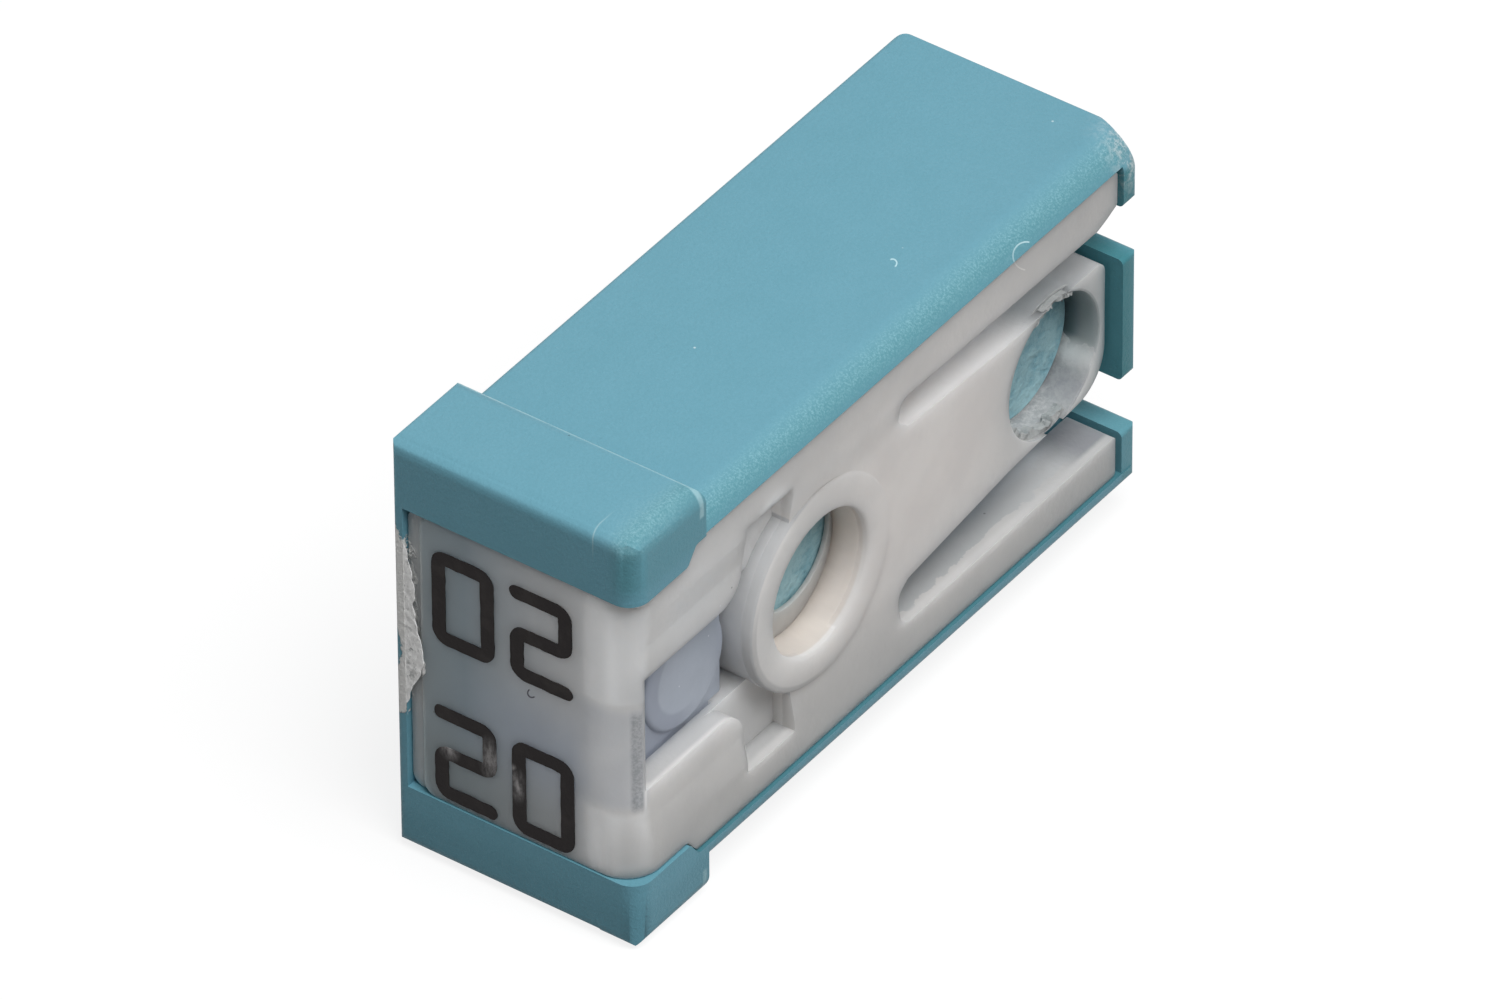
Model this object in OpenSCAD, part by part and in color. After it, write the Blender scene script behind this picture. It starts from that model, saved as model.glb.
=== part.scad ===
// Mini cartridge fuse lying on its narrow side, as it rests when put down.
// X runs from the head (-X) to the tail (+X), where the blades of the fuse box enter.
// Y runs from the open front, closed by the frosted cover (-Y), to the back wall (+Y).
// Z runs across the width, from the bottom rim (0) to the top rim.
// The shapes below are drawn with x = 0 at the head face, y = 0 at the front and
// z = 0 on the middle plane; placed() moves them to the part's own frame.

/* [Housing] */
// Length from the head face to the tail face
length = 18.1; // [17.4:0.1:20]
// Thickness from the open front to the back face
thickness = 6.2; // [5.9:0.05:7]
// Height across the two plates
plate_height = 9.26; // [9:0.02:10]
// Thickness of the top and bottom plates
plate_wall = 0.51; // [0.4:0.01:0.6]
// Thickness of the back wall
back_wall = 0.5; // [0.4:0.05:0.6]
// Thickness of the tail wall
tail_wall = 0.65; // [0.5:0.05:0.8]
// Radius of the long front edge of the top plate
top_front_round = 0.8; // [0.6:0.05:1]
// Radius of the long front edge of the bottom plate
bottom_front_round = 0.43; // [0.3:0.01:0.5]
// Radius of the back edges of the plates and the rims
back_round = 0.15; // [0.1:0.05:0.25]
// Radius of the outer edges of the plates at the tail
tail_round = 0.1; // [0.05:0.05:0.3]
// Radius of the worn front corner of the top plate at the tail
worn_corner_r = 2; // [1.95:0.01:2.05]
// Radius of the upright corner between the tail and the back wall
tail_back_round = 0.45; // [0.3:0.05:0.6]
// Radius of the upright corner between the tail and the front
tail_front_round = 0.4; // [0.2:0.05:0.6]

/* [Head rims] */
// Length of the two rims at the head
rim_length = 2.5; // [2.2:0.1:3]
// How far each rim stands proud of its plate
rim_step = 0.82; // [0.6:0.02:1]
// Thickness of each rim, from its outer face to the window
rim_wall = 1.73; // [1.6:0.01:1.9]
// Radius of the long front edge of each rim
rim_front_round = 0.5; // [0.3:0.05:0.7]
// Radius of the outer edge on the tail side of each rim
rim_tail_round = 0.4; // [0.2:0.05:0.5]
// Radius of the outer edge on the head side of the top rim
rim_head_round = 0.28; // [0.15:0.01:0.4]
// Radius of the outer edge on the head side of the bottom rim
rim_bottom_round = 0.42; // [0.15:0.01:0.5]
// Radius of the upright corner between the head face and the back wall
head_back_round = 0.2; // [0.1:0.01:0.3]
// Length of the lip under each rim that narrows the window at the head
lip_length = 1.85; // [1.6:0.05:2.1]
// Radius of the lip's end and of the hollow corner beside it
lip_round = 0.15; // [0.05:0.01:0.18]
// How far the front strip of the bottom rim stands below the rest of it
rim_ledge = 0.22; // [0.1:0.01:0.3]
// Width of that front strip
rim_ledge_width = 1.05; // [0.8:0.05:1.3]
// Thickness left in the back wall where the cover's head overlaps it
head_rebate_wall = 0.29; // [0.2:0.01:0.35]

/* [Blade slots] */
// Distance between the middles of the two blade slots
slot_pitch = 4.65; // [4.6:0.01:4.75]
// Width of each slot
slot_width = 1.42; // [1.36:0.01:1.46]
// Depth of each slot in the tail wall, from the front
slot_depth = 4.4; // [4:0.1:4.8]
// Radius of the slot's inner corners
slot_round = 0.3; // [0.1:0.05:0.5]
// Radius of the front edges of the three feet of the tail wall
foot_round = 0.14; // [0.1:0.02:0.3]
// Radius of the slots' edges on the tail face, which lead the blades in
lead_in_round = 0.3; // [0.1:0.05:0.4]
// How far the feet lie behind the front
foot_setback = 0.02; // [0.01:0.01:0.1]

/* [Posts] */
// Distance from the head face to the first post
first_post = 6.7; // [6.6:0.02:6.9]
// Distance from the tail face to the second post
tail_post = 2.72; // [2.6:0.02:2.8]
// Radius of the holes in the cover
hole_r = 1.7; // [1.6:0.01:1.7]
// Gap between a post and its hole
post_gap = 0.04; // [0.02:0.01:0.08]
// How far the ends of the posts lie behind the front
post_setback = 1.22; // [1.1:0.02:1.26]
// Thickness of the rib that joins the posts and of the two side ribs
rib_wall = 0.5; // [0.4:0.05:0.6]

/* [Cover] */
// Gap between the cover and the housing
cover_gap = 0.03; // [0.02:0.01:0.05]
// How far the middle of the cover's front lies behind the front of the housing
cover_setback = 0.2; // [0.18:0.01:0.24]
// How much further back the front of the middle leg lies at its tip
leg_drop = 0.18; // [0.1:0.01:0.2]
// How far the outer legs and edges of the cover lie behind the front of the housing
leg_setback = 0.08; // [0.04:0.01:0.15]
// Height of the middle of the front before it slopes up to the outer edges
dish_height = 4.6; // [4.4:0.1:5]
// Radius of the soft bends at both ends of that slope
dish_round = 0.6; // [0.3:0.05:1]
// Thickness of the cover's front wall
cover_wall = 1.1; // [1:0.02:1.2]
// Thickness of the cover's head wall
head_wall = 0.54; // [0.5:0.02:0.7]
// How far the cover's head face lies behind the rims
head_setback = 0.04; // [0.02:0.01:0.1]
// How far the panel of the head face is raised above its border
head_panel_rise = 0.12; // [0.06:0.02:0.2]
// Width of the border of the head face, beside the back wall
head_border = 0.38; // [0.3:0.02:0.5]
// Radius of the corners of the head wall beside the back wall
head_round = 0.3; // [0.1:0.05:0.4]
// Radius of the upright corner between the head face and the front face
cover_corner_round = 0.85; // [0.6:0.05:1]
// Gap between the legs of the cover and the tail wall
leg_end_gap = 0.15; // [0.1:0.01:0.25]
// Radius of the upper corner of the middle leg's tip
leg_top_round = 0.35; // [0.2:0.05:0.5]
// Radius of the lower corner of the middle leg's tip
leg_bottom_round = 1; // [0.6:0.05:1.2]
// Length of the sloping cut at the tip of the upper leg
leg_cut_length = 0.7; // [0.4:0.05:0.9]
// Height of that cut
leg_cut_height = 0.3; // [0.2:0.05:0.5]
// How far the tip of the upper leg is spread into the slot
leg_spread = 0.12; // [0.02:0.02:0.16]
// Radius of the small corners of the legs
leg_round = 0.1; // [0.05:0.01:0.15]
// Distance from the head face to the closed ends of the blade slots in the cover
slot_start = 9.5; // [9.3:0.05:9.9]
// Width of the middle leg where the slots start
middle_leg_root = 4.16; // [4.1:0.02:4.3]
// Width of the middle leg where the second hole starts
middle_leg_bend = 3.44; // [3.4:0.02:3.6]
// Width of the middle leg at its tip
middle_leg_tip = 3.24; // [3.1:0.02:3.3]
// Radius of the closed ends of the slots beside the middle leg
slot_end_round = 0.58; // [0.4:0.02:0.6]
// Radius of the closed ends of the slots beside the outer legs
slot_corner_round = 0.26; // [0.2:0.02:0.3]

/* [Cover recess] */
// Distance from the head face to the end of the shallow recess
recess_end = 5.66; // [5.5:0.02:5.8]
// Height of the shallow recess
recess_height = 6.5; // [6.3:0.05:6.8]
// Depth of the shallow recess behind the middle of the front
recess_depth = 0.44; // [0.4:0.02:0.54]
// Distance from the head face to the ends of the two pads in the recess
pad_end = 4; // [3.9:0.05:4.1]
// Height of the window between the pads
window_height = 2.96; // [2.8:0.02:3.1]
// Radius of the pads' corners
pad_round = 0.78; // [0.6:0.02:0.8]
// Thickness of the pads
pad_wall = 0.6; // [0.6:0.02:0.7]
// Length of the recess floor that lies behind the ends of the pads
floor_overlap = 0.3; // [0.2:0.05:0.6]
// Radius of the collar round the first hole
collar_r = 2.48; // [2.4:0.02:2.5]
// How far the collar stands proud of the middle of the front
collar_rise = 0.08; // [0.04:0.01:0.1]
// Radius of the collar's front edges, outside and at the mouth of the hole
collar_round = 0.08; // [0.04:0.01:0.1]
// How far the collar reaches behind the front wall
collar_reach = 0.15; // [0.1:0.05:0.2]
// Thickness of the thin sleeve that holds the tip of the middle leg round the second hole
sleeve_wall = 0.12; // [0.1:0.02:0.18]
// How far the sleeve starts behind the middle of the front
sleeve_setback = 0.3; // [0.2:0.05:0.5]

/* [Fuse element] */
// Thickness of the sheet
sheet = 0.25; // [0.2:0.01:0.28]
// Gap between the element and the front wall of the cover
element_gap = 0.3; // [0.25:0.05:0.35]
// Width across the outside of each terminal
terminal_width = 1.22; // [1.16:0.02:1.26]
// Gap between the terminals' side walls and the back wall
terminal_back_gap = 0.05; // [0.03:0.01:0.1]
// Gap between the terminals' side walls and the shoulders of the element
terminal_relief = 0.3; // [0.2:0.05:0.5]
// Gap between the terminals and the tail wall
terminal_end_gap = 0.15; // [0.1:0.05:0.3]
// Gap between the contact beads of a terminal, where it grips a blade
blade_grip = 0.5; // [0.46:0.02:0.54]
// Distance from the ends of the terminals to their contact beads
bead_setback = 2.4; // [2:0.1:3]
// Radius of the contact beads
bead_r = 0.3; // [0.2:0.05:0.4]
// Distance from the head face to the element
element_start = 1.5; // [1.4:0.05:1.7]
// Distance from the head face to the inner ends of the element's shoulders
shoulder_end = 4.9; // [4.6:0.05:4.9]
// Width of the thin melting strip between the shoulders
link_width = 0.7; // [0.6:0.05:0.8]
// Length of the melting strip
link_length = 2.8; // [2.7:0.05:2.9]
// Radius of the corners of the sheet
sheet_round = 0.12; // [0.05:0.01:0.12]
// Radius of the tin pill on the melting strip
pill_r = 1.3; // [1.2:0.02:1.34]
// Thickness of the tin pill
pill_height = 0.8; // [0.6:0.05:0.9]
// Radius of the front edge of the tin pill
pill_round = 0.3; // [0.1:0.05:0.4]
// Gap between the tin pill and the collar of the cover
pill_gap = 0.08; // [0.05:0.01:0.1]

/* [Hidden] */
$fn = 96;
past = 1;                                       // how far a cut runs past the solid it cuts
arc_steps = 10;                                 // straight pieces in a rounded corner of an outline
half_plate = plate_height / 2;
half_rim = half_plate + rim_step;
cavity_half = half_plate - plate_wall;
window_half = half_rim - rim_wall;
lip_run = 2 * lip_round;                        // x from the lip's end to the full cavity
tail_inner = length - tail_wall;
back_inner = thickness - back_wall;
slot_mid = slot_pitch / 2;
slot_outer = slot_mid + slot_width / 2;
slot_inner = slot_mid - slot_width / 2;
post_r = hole_r - post_gap;
posts = [first_post, length - tail_post];
cover_inner = cover_setback + cover_wall;       // y of the front wall's inner face
cover_half = cavity_half - cover_gap;
cover_narrow = window_half - cover_gap;         // half height between the rims' lips
cover_lip = lip_length + cover_gap;
cover_end = tail_inner - leg_end_gap;
head_inner = head_setback + head_wall;
cover_back = thickness - head_rebate_wall - cover_gap;
web_front = cover_inner + element_gap;          // y of the sheet's front face
web_back = web_front + sheet;
terminal_outer = slot_mid + terminal_width / 2;
terminal_inner = slot_mid - terminal_width / 2;
terminal_end = tail_inner - terminal_end_gap;
pill_x = first_post - collar_r - pill_gap - pill_r;
worn_centre = [-1.07, 1.65, -1.64];             // of the worn corner's ball, from the unworn corner

// A closed outline from corners [x, y, radius], each rounded by an arc that touches both sides.
function outline(c) = [
    for (i = [0:len(c) - 1])
        each rounded_corner(c[(i + len(c) - 1) % len(c)], c[i], c[(i + 1) % len(c)])
];
function rounded_corner(before, at, after) =
    let (
        p = [at.x, at.y],
        u = unit([before.x, before.y] - p),
        v = unit([after.x, after.y] - p),
        half = acos(u * v) / 2,
        centre = p + unit(u + v) * at.z / sin(half),
        from = p + u * at.z / tan(half) - centre,
        to = p + v * at.z / tan(half) - centre,
        start = atan2(from.y, from.x),
        turn = (atan2(to.y, to.x) - start + 540) % 360 - 180
    )
    at.z == 0 ? [p] : [
        for (k = [0:arc_steps])
            centre + at.z * [cos(start + turn * k / arc_steps), sin(start + turn * k / arc_steps)]
    ];
function unit(v) = v / norm(v);

// The corners of an outline that mirrors itself about y = 0, from those of its upper half.
function both_halves(c) = concat(
    [for (p = c) [p.x, -p.y, p.z]],
    [for (i = [len(c) - 1:-1:0]) c[i]]
);

// A rectangle from p to q; r is the radius of its low-x corners and s of its high-x corners.
function box_corners(p, q, r, s) = [[p.x, p.y, r], [q.x, p.y, s], [q.x, q.y, s], [p.x, q.y, r]];

// Moves the children from the drawing frame to the part's own frame.
module placed() { translate([-length / 2, -thickness / 2, half_rim]) children(); }

// Extrudes an outline drawn in x and z from y = from to y = to.
module slab(from, to) {
    translate([0, to, 0]) rotate([90, 0, 0]) linear_extrude(to - from) children();
}

// Extrudes a section drawn in y and z from x = from to x = to.
module bar(from, to) {
    translate([from, 0, 0]) rotate([90, 0, 90]) linear_extrude(to - from) children();
}

// A round bar along y.
module pin(x, r, from, to) { translate([x, to, 0]) rotate([90, 0, 0]) cylinder(r = r, h = to - from); }

// The children and their mirror image across the middle plane.
module both_sides() {
    children();
    mirror([0, 0, 1]) children();
}

// A block rounded in section, in side view and at the upright edges of the housing.
module shell_block(half, end, bottom_round, top_round, end_round) {
    intersection() {
        bar(0, end) polygon(outline([
            [0, -half, bottom_round], [thickness, -half, back_round],
            [thickness, half, back_round], [0, half, top_round]]));
        slab(0, thickness) polygon(outline([
            [0, -half, rim_bottom_round], [end, -half, end_round],
            [end, half, end_round], [0, half, rim_head_round]]));
        translate([0, 0, -half]) linear_extrude(2 * half) polygon(outline([
            [0, 0, rim_front_round], [length, 0, tail_front_round],
            [length, thickness, tail_back_round], [0, thickness, head_back_round]]));
    }
}

// The space for the cover: narrow between the rims' lips, wide between the plates.
module cavity(narrow, wide, lip, start, end) {
    polygon(outline(both_halves([
        [start, narrow, 0], [lip, narrow, lip_round], [lip + lip_run, wide, lip_round],
        [end, wide, 0]])));
}

// What is cut from the tail wall, drawn in y and z: its setback and the two blade slots.
module tail_comb() {
    polygon(outline(both_halves([
        [-past, cavity_half, 0], [foot_setback, cavity_half, 0],
        [foot_setback, slot_outer, foot_round], [slot_depth, slot_outer, slot_round],
        [slot_depth, slot_inner, slot_round], [foot_setback, slot_inner, foot_round]])));
}

// The mouth of a slot on the tail face, drawn in x and z, with its rounded edges.
module lead_in() {
    polygon(outline([
        [tail_inner, slot_inner, 0], [length, slot_inner, lead_in_round],
        [length, slot_inner - past, 0], [length + past, slot_inner - past, 0],
        [length + past, slot_outer + past, 0], [length, slot_outer + past, 0],
        [length, slot_outer, lead_in_round], [tail_inner, slot_outer, 0]]));
}

// What is cut from the front corner of the top plate at the tail, which is worn round.
module worn_corner() {
    translate([length, 0, half_plate] + worn_centre) difference() {
        translate([0, -2 * worn_corner_r, 0]) cube(2 * worn_corner_r);
        sphere(r = worn_corner_r);
    }
}

// The rib between the posts, and the two ribs along the outer sides of the terminals.
module ribs() {
    deep = back_inner - web_front;
    translate([posts[0], web_front, -rib_wall / 2])
        cube([tail_inner - posts[0], deep, rib_wall]);
    both_sides() translate([shoulder_end, web_front, slot_outer])
        cube([tail_inner - shoulder_end, deep, rib_wall]);
}

module housing() {
    color([0.36, 0.60, 0.66]) placed() {
        difference() {
            union() {
                shell_block(half_plate, length, bottom_front_round, top_front_round, tail_round);
                shell_block(half_rim, rim_length, rim_front_round, rim_front_round, rim_tail_round);
            }
            slab(-past, back_inner)
                cavity(window_half, cavity_half, lip_length, -past, tail_inner);
            // the back wall is thinner where the cover's head overlaps it
            translate([-past, back_inner - past, -window_half]) cube([
                past + head_inner + cover_gap, past + back_wall - head_rebate_wall, 2 * window_half]);
            bar(tail_inner - past, length + past) tail_comb();
            // behind its front strip the bottom rim is a little shallower
            translate([-past, rim_ledge_width, -half_rim - past])
                cube([rim_length + 2 * past, thickness, past + rim_ledge]);
            both_sides() slab(-past, slot_depth) lead_in();
            worn_corner();
        }
        for (x = posts) pin(x, post_r, post_setback, back_inner);
        ribs();
    }
}

// The front of the cover, from the head to the tips of its three legs.
module cover_outline() {
    root = middle_leg_root / 2;
    bend_x = posts[1] - hole_r;
    bend = middle_leg_bend / 2;
    tip = middle_leg_tip / 2;
    polygon(outline([
        [head_setback, -cover_narrow, 0], [cover_lip, -cover_narrow, lip_round],
        [cover_lip + lip_run, -cover_half, lip_round], [cover_end, -cover_half, leg_round],
        [cover_end, -slot_outer, leg_round], [slot_start, -slot_outer, slot_corner_round],
        [slot_start, -root, slot_end_round], [bend_x, -bend, 0],
        [cover_end, -tip, leg_bottom_round], [cover_end, tip, leg_top_round],
        [bend_x, bend, 0], [slot_start, root, slot_end_round],
        [slot_start, slot_outer, slot_corner_round],
        [cover_end - leg_cut_length, slot_outer - leg_spread, leg_round],
        [cover_end, slot_outer - leg_spread + leg_cut_height, leg_round],
        [cover_end, cover_half, leg_round],
        [cover_lip + lip_run, cover_half, lip_round], [cover_lip, cover_narrow, lip_round],
        [head_setback, cover_narrow, 0]]));
}

// The section that shapes the front: its middle is dished between the raised outer edges.
module front_section() {
    dish = dish_height / 2;
    polygon(outline([
        [thickness, -cover_half, 0], [leg_setback, -cover_half, 0],
        [leg_setback, -slot_outer, dish_round], [cover_setback, -dish, dish_round],
        [cover_setback, dish, dish_round], [leg_setback, slot_outer, dish_round],
        [leg_setback, cover_half, 0], [thickness, cover_half, 0]]));
}

// The recess round the first hole, less the two pads that reach into it from the head.
module recess() {
    half = recess_height / 2;
    difference() {
        translate([head_inner, -half]) square([recess_end - head_inner, 2 * half]);
        pads();
    }
}

module pads() {
    window = window_height / 2;
    for (side = [0, 1]) mirror([0, side]) polygon(outline([
        [0, window, 0], [pad_end, window, pad_round], [pad_end, half_rim, 0], [0, half_rim, 0]]));
}

// The head wall, with the panel that stands proud of its border.
module head() {
    border = cover_back - head_border;
    bar(head_setback + head_panel_rise, head_inner) polygon(outline(box_corners(
        [leg_setback, -cover_narrow], [cover_back, cover_narrow], 0, head_round)));
    bar(head_setback, head_inner) polygon(outline(box_corners(
        [leg_setback, -cover_narrow], [border, cover_narrow], 0, head_round)));
}

module cover() {
    floor_start = pad_end - floor_overlap;
    color([0.80, 0.79, 0.77]) placed() {
        difference() {
            intersection() {
                union() {
                    slab(0, cover_inner) cover_outline();
                    head();
                }
                bar(0, length) front_section();
                // the upright corner between the head face and the front face
                translate([0, 0, -half_rim]) linear_extrude(2 * half_rim) polygon(outline([
                    [head_setback, leg_setback, cover_corner_round], [length, leg_setback, 0],
                    [length, thickness, 0], [head_setback, thickness, 0]]));
            }
            slab(-past, cover_setback + recess_depth) recess();
            // behind the pads the wall is thinner
            translate([head_inner, cover_setback + pad_wall, -recess_height / 2])
                cube([floor_start - head_inner, cover_inner, recess_height]);
            // the window between the pads runs right through, up to the collar
            translate([head_inner, -past, -window_height / 2])
                cube([first_post - head_inner, cover_inner + 2 * past, window_height]);
            pin(posts[0], collar_r, -past, cover_inner + past);
            pin(posts[1], hole_r, -past, cover_inner + past);
            leg_slope();
        }
        collar();
        sleeve();
    }
}

// What is cut from the front of the middle leg, which drops back towards its tip.
module leg_slope() {
    half = middle_leg_root / 2;
    translate([0, 0, -half]) linear_extrude(2 * half) polygon([
        [slot_start, -past], [slot_start, cover_setback],
        [cover_end, cover_setback + leg_drop], [cover_end, -past]]);
}

// The collar round the first hole, a little proud of the front.
module collar() {
    front = cover_setback - collar_rise;
    back = cover_inner + collar_reach;
    translate([posts[0], 0, 0]) rotate([-90, 0, 0]) rotate_extrude() polygon(outline([
        [hole_r, front, collar_round], [collar_r, front, collar_round],
        [collar_r, back, 0], [hole_r, back, 0]]));
}

// The thin sleeve round the second hole, where the hole breaks out of the middle leg.
module sleeve() {
    back = cover_inner + collar_reach;
    difference() {
        pin(posts[1], hole_r + sleeve_wall, cover_setback + sleeve_setback, back);
        pin(posts[1], hole_r, 0, back + past);
    }
}

// The flat blank of the element: two shoulders, the melting strip and the two terminals' webs.
module blank() {
    half_strip = link_width / 2;
    inner = link_length / 2;
    polygon(outline(both_halves([
        [pill_x + half_strip, inner, sheet_round], [shoulder_end, inner, sheet_round],
        [shoulder_end, terminal_inner, sheet_round], [terminal_end, terminal_inner, 0],
        [terminal_end, terminal_outer, 0], [element_start, terminal_outer, sheet_round],
        [element_start, inner, sheet_round], [pill_x - half_strip, inner, sheet_round]])));
}

// The two side walls folded back from a terminal's web, with their contact beads.
module terminal_walls() {
    start = shoulder_end + terminal_relief;
    deep = back_inner - terminal_back_gap;
    rise = (terminal_width - 2 * sheet - blade_grip) / 2;
    for (z = [terminal_inner, terminal_outer - sheet])
        translate([start, web_front, z]) cube([terminal_end - start, deep - web_front, sheet]);
    intersection() {
        for (side = [-1, 1])
            translate([terminal_end - bead_setback, deep, slot_mid + side * (blade_grip / 2 + bead_r)])
                rotate([90, 0, 0]) cylinder(r = bead_r, h = deep - web_front);
        translate([start, web_front, terminal_inner])
            cube([terminal_end - start, deep - web_front, terminal_width]);
    }
}

module fuse_element() {
    color([0.74, 0.75, 0.78]) placed() {
        slab(web_front, web_back) blank();
        both_sides() terminal_walls();
    }
}

// The round pill of tin that sits on the front of the melting strip, behind the window.
module tin_pill() {
    front = web_front - pill_height;
    color([0.62, 0.63, 0.66]) placed()
        translate([pill_x, 0, 0]) rotate([-90, 0, 0]) rotate_extrude() polygon(outline([
            [0, front, 0], [pill_r, front, pill_round], [pill_r, web_front, 0], [0, web_front, 0]]));
}

housing();
cover();
fuse_element();
tin_pill();
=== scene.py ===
"""The looks of a mini cartridge fuse: a teal housing, a frosted cover and metal inside."""

import math

import bmesh
import bpy
from mathutils import Matrix, Quaternion, Vector, noise


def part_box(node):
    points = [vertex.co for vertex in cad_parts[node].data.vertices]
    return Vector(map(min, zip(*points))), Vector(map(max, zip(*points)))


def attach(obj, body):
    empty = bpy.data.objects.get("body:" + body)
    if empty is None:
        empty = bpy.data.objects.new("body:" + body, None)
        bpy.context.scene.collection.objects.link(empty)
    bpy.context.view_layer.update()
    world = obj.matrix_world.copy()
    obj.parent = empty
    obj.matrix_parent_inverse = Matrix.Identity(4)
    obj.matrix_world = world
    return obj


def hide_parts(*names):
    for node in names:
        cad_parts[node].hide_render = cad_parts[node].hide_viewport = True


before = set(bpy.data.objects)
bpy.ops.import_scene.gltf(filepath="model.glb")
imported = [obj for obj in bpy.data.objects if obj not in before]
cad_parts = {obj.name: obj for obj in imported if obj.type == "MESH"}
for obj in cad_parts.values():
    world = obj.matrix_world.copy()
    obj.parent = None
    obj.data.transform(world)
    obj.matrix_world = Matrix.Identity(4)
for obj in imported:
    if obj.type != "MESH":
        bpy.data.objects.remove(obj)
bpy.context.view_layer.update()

MM = 0.001
case_low, case_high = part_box("housing")
cover_low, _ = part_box("cover")
# The origin of the drawing: head face, open front, middle plane.
DATUM = Vector((case_low.x, case_low.y, (case_low.z + case_high.z) / 2))

# Places and sizes in mm from that origin: x to the tail, y to the back wall, z up.
LENGTH = (case_high.x - case_low.x) / MM
RIM_TOP = (case_high.z - case_low.z) / MM / 2
PANEL_X = (cover_low.x - case_low.x) / MM
TAIL_WALL = LENGTH - 0.72
FIRST_POST = 6.7
SECOND_POST = LENGTH - 2.72
POST_R = 1.7
COLLAR_R = 2.48
PILL_X = 2.76
PILL_R = 1.40


def at(x, y, z):
    """A point given in mm from the head face, the open front and the middle plane."""
    return DATUM + Vector((x, y, z)) * MM


# ---------------------------------------------------------------- patterns and finishes

class Finish:
    """A material whose patterns are measured in mm, as the drawing is."""

    def __init__(self, name, colour, roughness):
        self.material = bpy.data.materials.new(name)
        self.material.use_nodes = True
        self.material.diffuse_color = (*colour, 1)
        self.nodes = self.material.node_tree.nodes
        self.links = self.material.node_tree.links
        self.shader = self.nodes["Principled BSDF"]
        self.set(Base_Color=(*colour, 1), Roughness=roughness)
        self.colour = colour
        source = self.nodes.new("ShaderNodeTexCoord")
        mapping = self.nodes.new("ShaderNodeMapping")
        mapping.inputs["Scale"].default_value = (1 / MM,) * 3
        mapping.inputs["Location"].default_value = -DATUM / MM
        self.links.new(source.outputs["Object"], mapping.inputs["Vector"])
        self.place = mapping.outputs["Vector"]
        self.x, self.y, self.z = self.parts(self.place)

    def set(self, **settings):
        """Sets sockets of the shader to plain values; an underscore stands for a space."""
        for name, value in settings.items():
            self.shader.inputs[name.replace("_", " ")].default_value = value

    def link(self, name, value):
        """Links a pattern to a socket of the shader."""
        self.links.new(value, self.shader.inputs[name])

    def node(self, kind, inputs, output, **settings):
        """Adds a node, sets or links its inputs, and returns one of its outputs."""
        made = self.nodes.new(kind)
        for name, value in settings.items():
            setattr(made, name, value)
        for key, value in inputs.items():
            if isinstance(value, bpy.types.NodeSocket):
                self.links.new(value, made.inputs[key])
            else:
                made.inputs[key].default_value = value
        return made.outputs[output]

    def parts(self, vector):
        """The x, y and z of a vector."""
        split = self.nodes.new("ShaderNodeSeparateXYZ")
        self.links.new(vector, split.inputs[0])
        return split.outputs

    def calc(self, kind, a, b=0.0):
        return self.node("ShaderNodeMath", {0: a, 1: b}, 0, operation=kind)

    def vector_calc(self, kind, a, b=(0, 0, 0), output=0):
        return self.node("ShaderNodeVectorMath", {0: a, 1: b}, output, operation=kind)

    def normal(self):
        """The way the surface faces."""
        return self.node("ShaderNodeNewGeometry", {}, "Normal")

    # Masks run from 0 to 1 and say where something lies.

    def all_of(self, first, *others):
        """Where all the masks are, thinned by any plain number."""
        for other in others:
            first = self.calc("MULTIPLY", first, other)
        return first

    def any_of(self, first, *others):
        """Where any of the masks is."""
        for other in others:
            first = self.calc("MAXIMUM", first, other)
        return first

    def outside_of(self, mask):
        """Where the mask is not."""
        return self.calc("SUBTRACT", 1.0, mask)

    def step(self, value, low, high, to_low=0.0, to_high=1.0):
        """A soft step up from `low` to `high`, or a soft step down where low is the larger."""
        return self.node("ShaderNodeMapRange", {
            "Value": value, "From Min": low, "From Max": high, "To Min": to_low, "To Max": to_high},
            "Result", interpolation_type="SMOOTHSTEP")

    def within(self, value, low, high, soft):
        """Where the value lies between low and high, with soft ends."""
        return self.all_of(self.step(value, low - soft, low + soft),
                           self.step(value, high + soft, high - soft))

    def away(self, point, radius, stretch=(1, 1, 1)):
        """How far in mm the place lies outside a ball; stretch above 1 narrows it along an axis."""
        off = self.vector_calc("MULTIPLY", self.vector_calc("SUBTRACT", self.place, point), stretch)
        return self.calc("SUBTRACT", self.vector_calc("LENGTH", off, output="Value"), radius)

    def off_axis(self, x, radius):
        """How far in mm the place lies outside a round bar that runs from front to back at x."""
        return self.away((x, 0, 0), radius, (1, 0, 1))

    def near(self, point, radius, stretch=(1, 1, 1)):
        """1 at a point, falling to 0 at `radius` mm from it."""
        return self.step(self.away(point, 0, stretch), radius, 0)

    def noise(self, scale, detail=2.0, rough=0.5, stretch=(1, 1, 1)):
        """Soft cloudy noise with about `scale` patches in a millimetre."""
        where = self.place if stretch == (1, 1, 1) else self.vector_calc("MULTIPLY", self.place, stretch)
        return self.node("ShaderNodeTexNoise", {
            "Vector": where, "Scale": scale, "Detail": detail, "Roughness": rough}, "Fac")

    def wander(self, edge, scale, detail=4, rough=0.6):
        """A shift of up to `edge` mm either way that makes an edge ragged."""
        return self.step(self.noise(scale, detail, rough), 0.3, 0.7, -edge, edge)

    def ragged(self, balls, edge, scale):
        """Inside any of the balls (point, radius, stretch), with an edge that wanders."""
        reach = self.away(*balls[0])
        for ball in balls[1:]:
            reach = self.calc("MINIMUM", reach, self.away(*ball))
        return self.step(self.calc("ADD", reach, self.wander(edge, scale)), 0.02, -0.02)

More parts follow.
